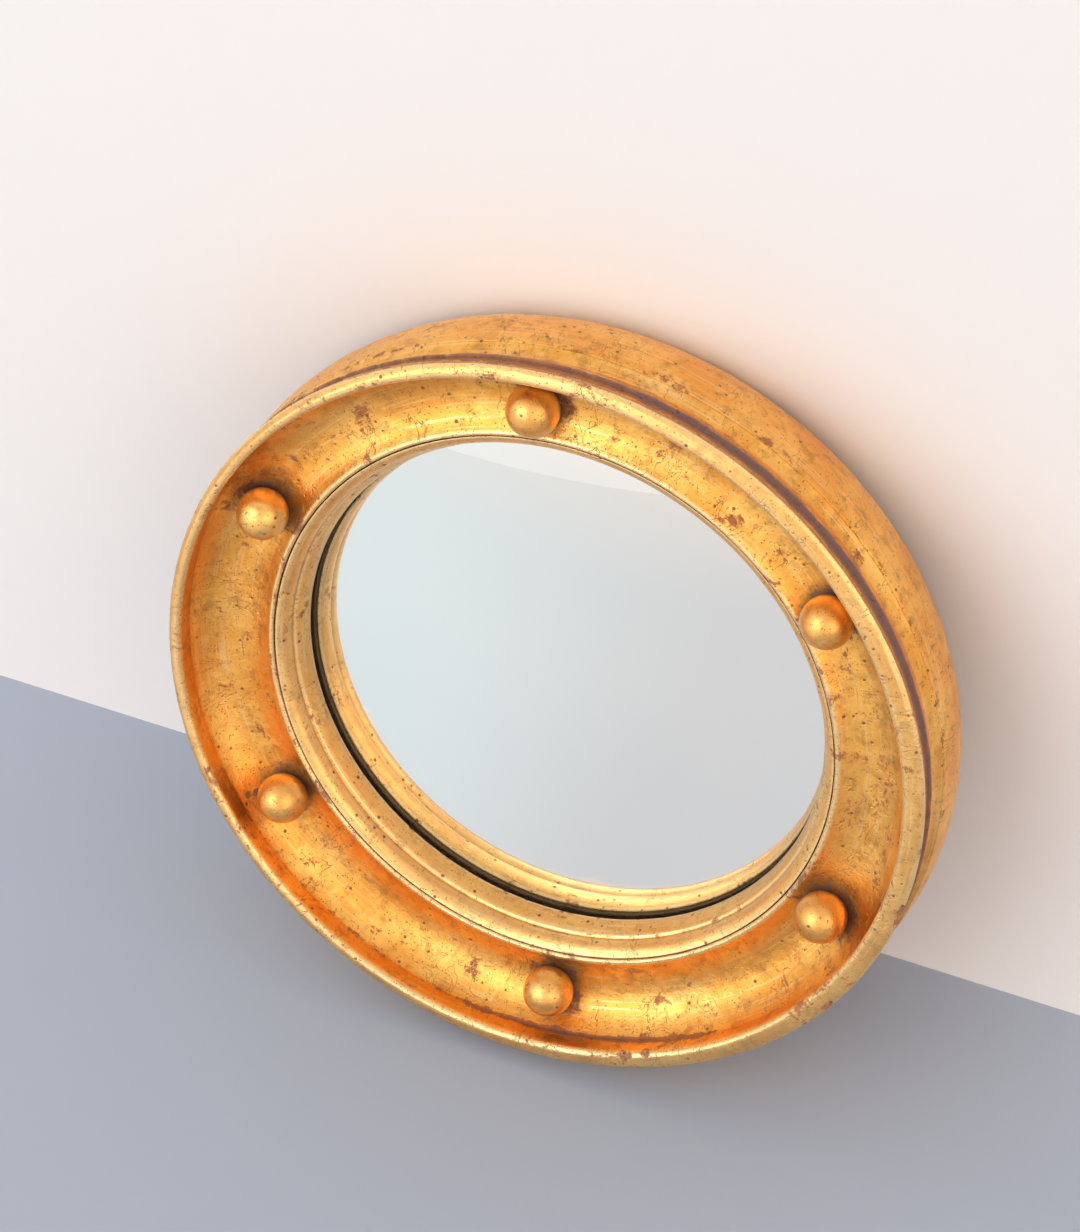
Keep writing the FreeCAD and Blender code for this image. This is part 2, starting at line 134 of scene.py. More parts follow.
def run(p, q):
    """Points in small steps on the straight way from p to q, without q."""
    n = max(2, int(math.hypot(q[0] - p[0], q[1] - p[1]) / WALK))
    t = np.arange(n)[:, None] / n
    return np.array(p) * (1 - t) + np.array(q) * t


def bow(p, q, sag):
    """Points on the arc from p to q whose middle stands sag off the chord, to its right in (r, d).

    The radius is chord squared over 8 sag plus half the sag. The centre lies on the chord's
    middle line, and the points go round it from the angle of p to the angle of q."""
    p, q = np.array(p, float), np.array(q, float)
    way = q - p
    chord = math.hypot(*way)
    right = np.array([way[1], -way[0]]) / chord
    radius = chord ** 2 / (8 * abs(sag)) + abs(sag) / 2
    centre = (p + q) / 2 + right * (sag - math.copysign(radius, sag))
    a, b = (math.atan2(*(end - centre)[::-1]) for end in (p, q))
    turn = (b - a + math.pi) % (2 * math.pi) - math.pi
    n = max(3, int(abs(turn) * radius / WALK))
    angle = a + turn * np.arange(n) / n
    return centre + radius * np.stack([np.cos(angle), np.sin(angle)], 1)


def soften(loop, spread):
    """A closed loop in which each row is the mean of its neighbours, weighted by a bell curve."""
    k = np.arange(-int(3 * spread / WALK) - 1, int(3 * spread / WALK) + 2)
    weight = np.exp(-0.5 * (k * WALK / spread) ** 2)
    weight /= weight.sum()
    return sum(w * np.roll(loop, -s, axis=0) for w, s in zip(weight, k))


def section(parts, round_off, count):
    """A closed section as (points, length along it, crest, hollow), all at count places.

    The bend is the change of heading per mm, above 0 where the section is convex. Places are
    spread evenly by length plus bend, so that they gather at corners."""
    loop = soften(np.vstack(parts), round_off)
    ahead = np.roll(loop, -1, axis=0) - loop
    step = np.hypot(*ahead.T)
    heading = np.arctan2(ahead[:, 1], ahead[:, 0])
    bend = ((heading - np.roll(heading, 1) + math.pi) % (2 * math.pi) - math.pi) / step
    area = np.sum(loop[:, 0] * np.roll(loop[:, 1], -1) - loop[:, 1] * np.roll(loop[:, 0], -1))
    bend = bend * math.copysign(1, area)
    crest = np.clip(soften(np.clip(bend, 0, 3), 0.35) / 0.75, 0, 1)
    hollow = np.clip((soften(np.clip(-bend, 0, 3), 0.9) - 0.12) / 0.5, 0, 1)
    weight = step * (0.3 + np.minimum(np.abs(soften(bend, 0.25)), 1.2))
    tally = np.concatenate([[0], np.cumsum(weight)])
    place = np.linspace(0, tally[-1], count, endpoint=False)
    closed = lambda row: np.interp(place, tally, np.append(row, row[0]))
    length = np.interp(place, tally, np.concatenate([[0], np.cumsum(step)]))
    points = np.stack([closed(loop[:, 0]), closed(loop[:, 1])], 1)
    return points, length, closed(crest), closed(hollow)


# %% [markdown]
# ## Turning a section into a ring
# A ring's surface is a grid: one direction goes round the axis, the other along the section, and
# both close. The unevenness of hand work is a sum of waves with whole numbers of turns, so that
# the ring meets itself. Each ring stores marks for its finish: crests, hollows, the neighbourhood
# of the balls, and a vector that gives the direction round the ring and the length along the
# section, for streaks and cracks that follow the turning.

# %% Uneven waves, grids and marks


def waves(seed, height, highest_turn, across, theta, v, count):
    """Unevenness of about plus or minus height: a sum of cosines of n theta + k v + phase.

    n is a whole number up to highest_turn, k lies within plus or minus across per mm."""
    rng = np.random.default_rng(seed)
    total = 0
    for _ in range(count):
        n = rng.integers(max(1, highest_turn // 6), highest_turn + 1)
        k = rng.uniform(-across, across)
        total = total + rng.uniform(0.5, 1) * np.cos(n * theta + k * v + rng.uniform(0, 6.283))
    return total / math.sqrt(count) * height


def new_object(name, points, quads, triangles=()):
    """A smooth mesh object from an array of points and arrays of point numbers per face."""
    mesh = bpy.data.meshes.new(name)
    sizes = np.concatenate([np.full(len(quads), 4), np.full(len(triangles), 3)]).astype(np.int32)
    corners = np.concatenate([np.ravel(quads), np.ravel(triangles)]).astype(np.int32)
    mesh.vertices.add(len(points))
    mesh.vertices.foreach_set("co", (np.asarray(points) * MM).astype(np.float32).ravel())
    mesh.loops.add(len(corners))
    mesh.loops.foreach_set("vertex_index", corners)
    mesh.polygons.add(len(sizes))
    starts = np.concatenate([[0], np.cumsum(sizes)[:-1]])
    mesh.polygons.foreach_set("loop_start", starts.astype(np.int32))
    mesh.polygons.foreach_set("use_smooth", np.ones(len(sizes), dtype=bool))
    mesh.update(calc_edges=True)
    obj = bpy.data.objects.new(name, mesh)
    bpy.context.collection.objects.link(obj)
    return obj


def volume(obj):
    """Enclosed volume in cubic cm, above 0 only if the faces point outwards.

    Each triangle adds a sixth of the product of its corners: a . (b x c)."""
    mesh = obj.data
    mesh.calc_loop_triangles()
    corner = np.empty(len(mesh.loop_triangles) * 3, dtype=np.int32)
    mesh.loop_triangles.foreach_get("vertices", corner)
    place = np.empty(len(mesh.vertices) * 3)
    mesh.vertices.foreach_get("co", place)
    a, b, c = place.reshape(-1, 3)[corner.reshape(-1, 3)].transpose(1, 0, 2) * 100
    return round(float(np.sum(a * np.cross(b, c)) / 6), 2)


def mark(obj, name, values):
    """Stores one number, or one vector, per point under a name that the finish reads."""
    values = np.ascontiguousarray(values, dtype=np.float32)
    kind = "FLOAT_VECTOR" if values.shape[-1] == 3 else "FLOAT"
    field = "vector" if kind == "FLOAT_VECTOR" else "value"
    obj.data.attributes.new(name, kind, "POINT").data.foreach_set(field, values.ravel())


BALL_CIRCLE = 91.9              # radius of the circle on which the balls sit
BALL_DEPTH = 9.255              # depth of their centres
BALL_RADIUS = 7.15
ball_angles = np.radians(90 - 60 * np.arange(6))

SEAT_R, SEAT_D = 109.858, 16.38     # where moulding and back ring meet on the outside
TRUE_REACH = 1.8                # mm from there in which unevenness and marks fade in
STEPS_ROUND = 720               # grid columns of a ring
CLEAN_R = 84                    # inside this radius the hollows hold little dirt and painted shade
CLEAN_SHARE = 0.35
HALO_REACH = 7.5                # mm round a ball in which the leaf is dirty and painted darker as the ball's shade


def bell(x, middle, width):
    """A smooth hump of height 1: e to the minus square of the distance in widths."""
    return np.exp(-((x - middle) / width) ** 2)


def turned_ring(name, parts, round_off, count, seed, uneven, finish_marks=None, reshape=None):
    """A ring: the point at angle theta and section place v is (r cos theta, d - DEPTH, r sin theta).

    The surface sinks by up to twice uneven mm along its normal, never standing proud of the true
    section, and it keeps true where moulding and back ring meet. reshape may move the points, and
    finish_marks adds the ring's own marks."""
    points, length, crest, hollow = section(parts, round_off, count)
    theta = np.linspace(0, 2 * math.pi, STEPS_ROUND, endpoint=False)[:, None]
    v = length[None, :]
    bumps = waves(seed, uneven * 0.55, 7, 0.05, theta, v, 9)
    bumps = bumps + waves(seed + 1, uneven * 0.22, 80, 0.45, theta, v, 26)
    from_seat = np.hypot(points[:, 0] - SEAT_R, points[:, 1] - SEAT_D)
    apart = 1 - bell(from_seat, 0, TRUE_REACH)
    sink = -np.clip(uneven - bumps, 0, 2 * uneven) * apart
    ahead = np.roll(points, -1, axis=0) - np.roll(points, 1, axis=0)
    normal = np.stack([ahead[:, 1], -ahead[:, 0]], 1) / np.hypot(*ahead.T)[:, None]
    area = np.sum(points[:, 0] * np.roll(points[:, 1], -1) - points[:, 1] * np.roll(points[:, 0], -1))
    normal = normal * math.copysign(1, area)
    r = points[:, 0] + sink * normal[:, 0]
    d = points[:, 1] + sink * normal[:, 1]
    if reshape:
        r, d, theta = reshape(r, d, theta, points)
    x, z = r * np.cos(theta), r * np.sin(theta)
    xyz = np.stack([x, d - DEPTH, z], -1)
    i, j = np.meshgrid(np.arange(len(theta)), np.arange(count), indexing="ij")
    i2, j2 = (i + 1) % len(theta), (j + 1) % count
    quads = np.stack([i * count + j, i * count + j2, i2 * count + j2, i2 * count + j], -1)
    if area < 0:
        quads = quads[..., ::-1]
    obj = new_object(name, xyz.reshape(-1, 3), quads.reshape(-1, 4))
    near = [np.sqrt((x - BALL_CIRCLE * math.cos(a)) ** 2 + (z - BALL_CIRCLE * math.sin(a)) ** 2
                    + (d - BALL_DEPTH) ** 2) for a in ball_angles]
    mark(obj, "crest", crest * apart + 0 * r)
    mark(obj, "hollow", hollow * apart * np.where(points[:, 0] < CLEAN_R, CLEAN_SHARE, 1) + 0 * r)
    mark(obj, "halo", np.clip(1 - (np.minimum.reduce(near) - BALL_RADIUS) / HALO_REACH, 0, 1))
    mark(obj, "lay", np.stack([np.cos(theta) + 0 * r, np.sin(theta) + 0 * r, 0.01 * v + 0 * r], -1))
    for mark_name, rule in (finish_marks or {}).items():
        mark(obj, mark_name, rule(points, theta) + 0 * r)
    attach(obj, FIXED)
    print(name, len(theta) * count * 2, "triangles,", volume(obj), "cubic cm")
    return obj


# %% [markdown]
# ## Front moulding
# From the joint outwards and forwards: cavetto, fillet, groove, the rim bead with its worn crest,
# the quirk, the wide cove in which the balls sit, and the thin ridge. Along the outer groove the
# leaf has rubbed through to the clay and primer, most at the top and right, and in the quirk most
# at the bottom: the mark "rub" holds that.

# %% Front moulding
SPIGOT_R, MOULDING_BACK_D = 99.758, 20.98
QUIRK = (103.6, 7.2)
GROOVE = (107.2, 6.9)
FILLET_R, FILLET_TOP_D, FILLET_END_D = 107.9, 7.2, 8.8
RIDGE_OUT, RIDGE_IN = (82.4, 12.8), (81.6, 12.8)
BORE_R, BORE_D = 81.0, 13.4
CREST = (105.0, 0.0)
RIM_OUT, RIM_IN = (108.2, 1.6), (103.3, 1.7)
COVE_SAG, CAVETTO_SAG, GROOVE_SAG = 5.4, 0.9, 0.4


def crest_sag(flank):
    """Sag of the arc that lies level at the crest and ends at a flank: chord/2 x tan(turn/4)."""
    across, drop = abs(flank[0] - CREST[0]), flank[1] - CREST[1]
    return math.hypot(across, drop) / 2 * math.tan(math.atan2(drop, across) / 2)


front_parts = [
    bow(QUIRK, RIDGE_OUT, COVE_SAG), run(RIDGE_OUT, RIDGE_IN), run(RIDGE_IN, (BORE_R, BORE_D)),
    run((BORE_R, BORE_D), (BORE_R, MOULDING_BACK_D)),
    run((BORE_R, MOULDING_BACK_D), (SPIGOT_R, MOULDING_BACK_D)),
    run((SPIGOT_R, MOULDING_BACK_D), (SPIGOT_R, SEAT_D)), run((SPIGOT_R, SEAT_D), (SEAT_R, SEAT_D)),
    bow((SEAT_R, SEAT_D), (FILLET_R, FILLET_END_D), CAVETTO_SAG),
    run((FILLET_R, FILLET_END_D), (FILLET_R, FILLET_TOP_D)), run((FILLET_R, FILLET_TOP_D), GROOVE),
    bow(GROOVE, RIM_OUT, GROOVE_SAG),
    bow(RIM_OUT, CREST, -crest_sag(RIM_OUT)), bow(CREST, RIM_IN, -crest_sag(RIM_IN)),
    run(RIM_IN, QUIRK),
]


ROLL_SHIFT = 2.0                # mm that the roll's side is turned off the mirror's axis
SHIFT_TO = math.radians(-15)    # and in which direction
RIM_OUTWARD, RIM_SWING = 0.3, 1.3     # mm that the rim's outer side stands out, even and uneven
FADE_FROM_CREST, FADE_BEHIND = 2.2, 6.0     # mm in which the two shares fade in


def smooth(x):
    """0 below 0, 1 above 1 and 3 x squared - 2 x cubed between."""
    x = np.clip(x, 0, 1)
    return x * x * (3 - 2 * x)


def off_centre(r, d, theta, points):
    """The outer side as it was turned by hand, a little off the axis, in two smooth shares.

    The roll and cavetto move inwards by ROLL_SHIFT (1 - cos(angle from SHIFT_TO)), the rim's
    outer side outwards by RIM_OUTWARD + RIM_SWING cos of the same angle. Both fade out towards
    the crest."""
    swing = np.cos(theta - SHIFT_TO)
    outside = smooth((points[:, 0] - CREST[0] - 0.3) / FADE_FROM_CREST) * (points[:, 1] < SEAT_D + 0.3)
    behind = smooth((points[:, 1] - FILLET_TOP_D) / FADE_BEHIND)
    move = (1 - behind) * (RIM_OUTWARD + RIM_SWING * swing) - behind * ROLL_SHIFT * (1 - swing)
    return r + move * outside, d, theta


def rub_marks(points, theta):
    """Rub along the outer groove, most at the upper right, and in the quirk at the bottom.

    Each is a hump in the distance from the line, times a hump in the angle round the ring."""
    to_groove = np.hypot(points[:, 0] - GROOVE[0] - 0.3, points[:, 1] - GROOVE[1] + 0.5)
    to_quirk = np.hypot(points[:, 0] - QUIRK[0], points[:, 1] - QUIRK[1])
    angle = (np.degrees(theta) + 130) % 360 - 130
    right_side = bell(angle, 38, 62)
    bottom = bell(angle, -84, 26)
    rub = bell(to_groove, 0, 2.1) * right_side + 0.8 * bell(to_quirk, 0, 1.2) * bottom
    return np.clip(rub, 0, 1)


front_moulding = turned_ring("front_moulding_gilt", front_parts, 0.22, 132, 11, 0.14,
                             {"rub": rub_marks}, off_centre)
front_moulding.visible_transmission = False
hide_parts("front_moulding")

# %% [markdown]
# ## Sight slip
# Two narrow bulged bands with a sharp step between them, and the thin lip over the glass.

# %% Sight slip
SLIP_TOP, STEP_OUT, STEP_IN, SIGHT = (80.9, 13.5), (77.7, 18.58), (77.0, 18.78), (75.3, 24.38)
LIP_D, LIP_FOOT_R = 24.98, 75.6
FLANGE_R, FLANGE_SEAT_D = 86.0, 25.28
WIDE_BAND_SAG, NARROW_BAND_SAG = -1.3, -0.6
slip_corners = [SIGHT, (SIGHT[0], LIP_D), (LIP_FOOT_R, FLANGE_SEAT_D), (FLANGE_R, FLANGE_SEAT_D),
                (FLANGE_R, MOULDING_BACK_D), (SLIP_TOP[0], MOULDING_BACK_D), SLIP_TOP]
slip_parts = [bow(SLIP_TOP, STEP_OUT, WIDE_BAND_SAG), run(STEP_OUT, STEP_IN),
              bow(STEP_IN, SIGHT, NARROW_BAND_SAG)]
slip_parts += [run(p, q) for p, q in zip(slip_corners, slip_corners[1:])]
sight_slip = turned_ring("sight_slip_gilt", slip_parts, 0.13, 96, 23, 0.07)
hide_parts("sight_slip")

# %% [markdown]
# ## Back ring
# The big rounded side is part of an ellipse that draws in towards the wall. Behind lies the recess
# for the board, and at its top a notch that leaves room for the hanging ring. The notch is made by
# moving points of the same grid outwards, with two close columns at each of its sides.

# %% Back ring
ROLL_MAX, ROLL_REAR, ROLL_D = 111.1, 101.1, 24.38
RECESS_R, RECESS_D = 95.0, 34.955
REBATE_R = 79.0
SLIP_BORE_R, REGISTER_R = 86.3, 100.058     # round the slip's flange and the moulding's spigot
NOTCH_HALF, NOTCH_TOP = 8.2, 99.2
NOTCH_SIDE = 0.0003             # radians from the notch's side to the columns on either hand


def roll_side():
    """The roll from the joint to the back: an ellipse about (ROLL_REAR, ROLL_D), cut at the joint.

    r = ROLL_REAR + wide cos t and d = ROLL_D + deep sin t, t from the joint's depth to a right
    angle."""
    wide, deep = ROLL_MAX - ROLL_REAR, DEPTH - ROLL_D
    t = np.linspace(math.asin((SEAT_D - ROLL_D) / deep), math.pi / 2, 260, endpoint=False)
    return np.stack([ROLL_REAR + wide * np.cos(t), ROLL_D + deep * np.sin(t)], 1)


def open_notch(r, d, theta, points):
    """Adds the notch's side columns, then stretches the recess to z = NOTCH_TOP between them.

    A point's share of the stretch is 1 on the recess wall and falls to 0 at the rebate and at the
    roll's rear edge, so that the flat faces stay flat."""
    side = math.acos(NOTCH_HALF / (RECESS_R + 2))
    far_side = math.pi - side
    extra = np.array([side - NOTCH_SIDE, side + NOTCH_SIDE, far_side - NOTCH_SIDE, far_side + NOTCH_SIDE])
    place = np.searchsorted(theta[:, 0], extra)
    theta = np.insert(theta[:, 0], place, extra)[:, None]
    r, d = np.insert(r, place, r[place], axis=0), np.insert(d, place, d[place], axis=0)
    inside = (theta > side) & (theta < far_side)
    pr, pd = points[:, 0], points[:, 1]
    share = np.where(pr <= RECESS_R, (pr - REBATE_R) / (RECESS_R - REBATE_R),
                     (ROLL_REAR - pr) / (ROLL_REAR - RECESS_R))
    share = np.where(pd > RECESS_D - 0.4, np.clip(share, 0, 1), 0) * (pr < ROLL_REAR)
    stretched = NOTCH_TOP / np.sin(np.clip(theta, side, far_side)) - RECESS_R
    return r + inside * share * stretched, d, theta


def roll_shape(r, d, theta, points):
    """The roll off centre as its moulding is, fading out at its rear edge, and then the notch."""
    swing = np.cos(theta - SHIFT_TO)
    on_roll = smooth((points[:, 0] - ROLL_REAR) / 6) * (points[:, 1] > SEAT_D - 0.2)
    return open_notch(r - ROLL_SHIFT * (1 - swing) * on_roll, d, theta, points)


back_corners = [(ROLL_REAR, DEPTH), (RECESS_R, DEPTH), (RECESS_R, RECESS_D), (REBATE_R, RECESS_D),
                (REBATE_R, FLANGE_SEAT_D), (SLIP_BORE_R, FLANGE_SEAT_D), (SLIP_BORE_R, MOULDING_BACK_D),
                (REGISTER_R, MOULDING_BACK_D), (REGISTER_R, SEAT_D), (SEAT_R, SEAT_D)]
back_parts = [roll_side()] + [run(p, q) for p, q in zip(back_corners, back_corners[1:])]


def bare_marks(points, theta):
    """1 on the bare wood behind, 0 on the gilded roll; the change lies on the rear edge."""
    back = np.clip((points[:, 1] - DEPTH + 0.7) / 0.5, 0, 1)
    return np.maximum(back, (points[:, 0] < ROLL_REAR - 0.6) * 1.0)


def joint_wear_and_shade_marks(points, theta):
    """Rubbed ground and painted shade where the roll meets the moulding, fed in as rub: a hump in the
    distance from the joint.
    """
    return 0.30 * bell(np.hypot(points[:, 0] - SEAT_R, points[:, 1] - SEAT_D), 0, 2.6)


back_ring = turned_ring("back_ring_gilt", back_parts, 0.22, 120, 37, 0.22,
                        {"bare": bare_marks, "rub": joint_wear_and_shade_marks}, roll_shape)
back_ring.data.set_sharp_from_angle(angle=math.radians(50))
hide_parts("back_ring")

# %% [markdown]
# ## Balls
# Each ball is a separate turned bead on a dowel. A bead is a sphere whose radius sinks a little
# in slow waves, so that no two catch the light alike. Rows of points run from one pole to the
# other, and each pole is a single point, which closes the mesh. In the photograph the glass shows
# only the slip beside it, so rays that have come through glass pass the balls and the moulding by.

# %% Spun solids and balls


BALL_STEPS, BALL_RINGS = 96, 50
BALL_LOSS = 0.08                # mm that a ball is smaller than its size on average


def spun(name, profile, steps, centre=(0, 0, 0), marks=None):
    """A closed solid of revolution about Y through centre: rings of (r, y), a point at each end.

    profile is (rings, 2) or, where the radius changes round the axis, (steps, rings, 2)."""
    rings = profile.shape[-2] - 2
    grid = np.broadcast_to(profile, (steps, rings + 2, 2))
    theta = np.linspace(0, 2 * math.pi, steps, endpoint=False)[:, None]
    r, y = grid[:, 1:-1, 0], grid[:, 1:-1, 1]
    body = np.stack([r * np.cos(theta), y, r * np.sin(theta)], -1).reshape(-1, 3)
    poles = np.array([[0, grid[0, 0, 1], 0], [0, grid[0, -1, 1], 0]])
    points = np.vstack([body, poles]) + np.array(centre)
    i, j = np.meshgrid(np.arange(steps), np.arange(rings - 1), indexing="ij")
    i2 = (i + 1) % steps
    quads = np.stack([i * rings + j, i2 * rings + j, i2 * rings + j + 1, i * rings + j + 1], -1)
    a = np.arange(steps)
    b = (a + 1) % steps
    first = np.stack([a * rings, np.full(steps, len(body)), b * rings], -1)
    last = np.stack([b * rings + rings - 1, np.full(steps, len(body) + 1), a * rings + rings - 1], -1)
    if grid[0, 0, 1] < grid[0, -1, 1]:
        quads, first, last = quads[..., ::-1], first[:, ::-1], last[:, ::-1]
    obj = new_object(name, points, quads.reshape(-1, 4), np.vstack([first, last]))
    for mark_name, row in (marks or {}).items():
        mark(obj, mark_name, np.concatenate([(row[1:-1] + 0 * r).ravel(), row[[0, -1]]]))
    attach(obj, FIXED)
    return obj


def bead_profile(seed):
    """Rows of (r, y) of a sphere whose radius is BALL_RADIUS less BALL_LOSS, in slow waves.

    The waves fade towards the poles, where all columns meet."""
    t = np.linspace(0, math.pi, BALL_RINGS)[None, :]
    theta = np.linspace(0, 2 * math.pi, BALL_STEPS, endpoint=False)[:, None]
    radius = BALL_RADIUS - BALL_LOSS + waves(seed, 0.03, 3, 2.0, theta, t, 6) * np.sin(t) ** 2
    radius = np.minimum(radius, BALL_RADIUS - 0.01)
    radius = radius + 0 * theta
    radius[:, [0, -1]] = BALL_RADIUS - BALL_LOSS
    return np.stack([radius * np.sin(t), -radius * np.cos(t)], -1)


bead_depth = -np.cos(np.linspace(0, math.pi, BALL_RINGS))     # -1 and 1 at the two poles
balls = []
for i, a in enumerate(ball_angles):
    centre = (BALL_CIRCLE * math.cos(a), BALL_DEPTH - DEPTH, BALL_CIRCLE * math.sin(a))
    # the back half of each ball, where it sits in the cove, counts as hollow: dirt and painted shade darken
    # it
    ball = spun(f"ball_{i + 1}_gilt", bead_profile(50 + i), BALL_STEPS, centre,
                {"hollow": np.clip((bead_depth + 0.05) * 1.6, 0, 1)})
    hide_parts(f"ball_{i + 1}")
    ball.visible_transmission = False
    balls.append(ball)
print(len(balls), "balls of", BALL_RADIUS * 2, "mm and", volume(balls[0]), "cubic cm")

# %% [markdown]
# ## Domed glass and its silvering
# The glass is a shell between two spheres with one centre. The silvering lies on its back: its
# front stands a hair inside the glass, so that no film of air comes between them. Many rings of
# points keep the reflection free of facets.

# %% Glass and silvering
DOME_R, DOME_CENTRE_D = 350.0, 367.56
GLASS_T, GLASS_R, SILVER_R = 2.0, 78.5, 78.0
SILVER_INSIDE, SILVER_T = 0.05, 0.3     # mm that the silvering reaches into the glass and behind it
DOME_STEPS = 240


def shell(front_r, back_r, edge_r, rings=72, chamfer=0.15):
    """Rows of (r, y) of a domed shell: out along the front sphere, round the rim, back to the axis.

    On a sphere of radius R the depth is DOME_CENTRE_D - sqrt(R squared - r squared)."""
    r = edge_r * np.linspace(0, 1, rings)
    depth = lambda radius, at: DOME_CENTRE_D - np.sqrt(radius ** 2 - at ** 2)
    inner = r * (1 - chamfer / edge_r)
    front = np.stack([inner, depth(front_r, inner)], 1)
    back = np.stack([inner, depth(back_r, inner)], 1)[::-1]
    rim = np.stack([np.full(2, edge_r), [front[-1, 1] + chamfer, back[0, 1] - chamfer]], 1)
    return np.vstack([front, rim, back]) - [0, DEPTH]


glass = spun("convex_glass_clear", shell(DOME_R, DOME_R - GLASS_T, GLASS_R), DOME_STEPS)
glass.data.set_sharp_from_angle(angle=math.radians(30))
silver_shell = shell(DOME_R - GLASS_T + SILVER_INSIDE, DOME_R - GLASS_T - SILVER_T, SILVER_R, chamfer=0.02)
silver = spun("silver_coat_mirror", silver_shell, DOME_STEPS)
silver.data.set_sharp_from_angle(angle=math.radians(30))
for piece, node, slot in ((glass, "convex_glass", "glass"), (silver, "silver_coat", "silver")):
    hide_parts(node)
    print(piece.name, len(piece.data.polygons), "faces,", volume(piece), "cubic cm")

# %% [markdown]
# ## Floor and wall
# The mirror leans against a wall. The object stays upright in its own frame, so floor and wall are
# tilted instead: they meet along a line that is turned a few degrees in the mirror's plane, and the
# wall stands at the lean angle to the back of the frame. Both planes are pushed out to the two
# dressed rings' outermost point in their direction, so that the mirror rests on both.

# %% Floor and wall
LEAN = math.radians(11.0)
TURN = math.radians(-6.15)
REACH, WALL_HEIGHT = 6.0, 4.0   # metres of floor to each side and in front, and of wall
along_foot = Vector((math.cos(TURN), 0, math.sin(TURN)))
up_mirror = Vector((-math.sin(TURN), 0, math.cos(TURN)))
backwards = Vector((0, 1, 0))
up = up_mirror * math.cos(LEAN) - backwards * math.sin(LEAN)
to_wall = up_mirror * math.sin(LEAN) + backwards * math.cos(LEAN)


def mesh_points(obj):
    """All vertices of a piece as an array of points."""
    mesh = obj.data
    flat = np.empty(len(mesh.vertices) * 3, dtype=np.float32)
    mesh.vertices.foreach_get("co", flat)
    return flat.reshape(-1, 3)


outer_points = np.vstack([mesh_points(back_ring), mesh_points(front_moulding)])
floor_level = float((outer_points @ np.array(up)).min())
wall_level = float((outer_points @ np.array(to_wall)).max())
print("floor at", round(floor_level, 4), "m and wall at", round(wall_level, 4), "m")


def sheet_of_paint(name, start, side_a, side_b):
    """A flat rectangle: start, start + a, start + a + b, start + b. It faces along a x b."""
    mesh = bpy.data.meshes.new(name)
    points = [start, start + side_a, start + side_a + side_b, start + side_b]
    mesh.from_pydata([tuple(p) for p in points], [], [(0, 1, 2, 3)])
    obj = bpy.data.objects.new(name, mesh)
    bpy.context.collection.objects.link(obj)
    return obj


foot = up * floor_level + to_wall * wall_level
floor = sheet_of_paint("floor", foot - along_foot * REACH - to_wall * REACH,
                       along_foot * 2 * REACH, to_wall * REACH)
wall = sheet_of_paint("wall", foot - along_foot * REACH, along_foot * 2 * REACH,
                      up * WALL_HEIGHT)

# %% [markdown]
# ## Small tools for shader nodes
# A finish is a graph of nodes. These helpers keep its description short: put makes a node, sums
# does arithmetic, times and plus are its two commonest kinds, level maps a range with a smooth
# step, cloud is a noise, around makes it swing about zero, and mix blends colours.

# %% Node helpers


def feed(tree, socket, value):
    """Links an output to a socket, or writes a plain value into it."""
    if isinstance(value, bpy.types.NodeSocket):
        tree.links.new(value, socket)
    elif value is not None:
        socket.default_value = value


def put(tree, kind, out=0, settings=None, **inputs):
    """A new node of a kind; settings are its options and inputs its sockets. Gives one output."""
    node = tree.nodes.new("ShaderNode" + kind)
    for key, value in (settings or {}).items():
        setattr(node, key, value)
    for key, value in inputs.items():
        feed(tree, node.inputs[key.replace("_", " ")], value)
    return node.outputs[out]


def sums(tree, operation, *values, clamp=False):
    """Arithmetic on single numbers."""
    node = tree.nodes.new("ShaderNodeMath")
    node.operation, node.use_clamp = operation, clamp
    for socket, value in zip(node.inputs, values):
        feed(tree, socket, value)
    return node.outputs[0]


def times(tree, a, b):
    """The product of two numbers."""
    return sums(tree, "MULTIPLY", a, b)


def plus(tree, first, *others):
    """The sum of several numbers."""
    for other in others:
        first = sums(tree, "ADD", first, other)
    return first


def around(tree, noise, amount):
    """A noise about a half as one about zero: (noise - 0.5) times amount."""
    return times(tree, sums(tree, "SUBTRACT", noise, 0.5), amount)


def level(tree, value, low, high, to_low=0.0, to_high=1.0):
    """Smooth step: to_low below low, to_high above high, an even curve between."""
    return put(tree, "MapRange", settings={"interpolation_type": "SMOOTHSTEP"}, Value=value,
               From_Min=low, From_Max=high, To_Min=to_low, To_Max=to_high)


def stretch(tree, vector, x, y, z):
    """A vector times a factor along each axis: a large factor packs a pattern closer."""
    node = tree.nodes.new("ShaderNodeVectorMath")
    node.operation = "MULTIPLY"
    feed(tree, node.inputs[0], vector)
    node.inputs[1].default_value = (x, y, z)
    return node.outputs[0]


def cloud(tree, vector, scale, detail=3.0, roughness=0.5, distortion=0.0):
    """Noise between 0 and 1, mostly near a half; scale is lumps per unit of the vector."""
    return put(tree, "TexNoise", Vector=vector, Scale=scale, Detail=detail, Roughness=roughness,
               Distortion=distortion)


def mix(tree, share, a, b):
    """Colour a where share is 0, colour b where it is 1."""
    node = tree.nodes.new("ShaderNodeMix")
    node.data_type = "RGBA"
    for index, value in ((0, share), (6, a), (7, b)):
        feed(tree, node.inputs[index], value)
    return node.outputs[2]


def blend(tree, share, a, b):
    """Number a where share is 0, number b where it is 1: a + share (b - a)."""
    node = tree.nodes.new("ShaderNodeMix")
    for index, value in ((0, share), (2, a), (3, b)):
        feed(tree, node.inputs[index], value)
    return node.outputs[0]


SOCKETS = {"v": "NodeSocketVector", "f": "NodeSocketFloat", "c": "NodeSocketColor"}


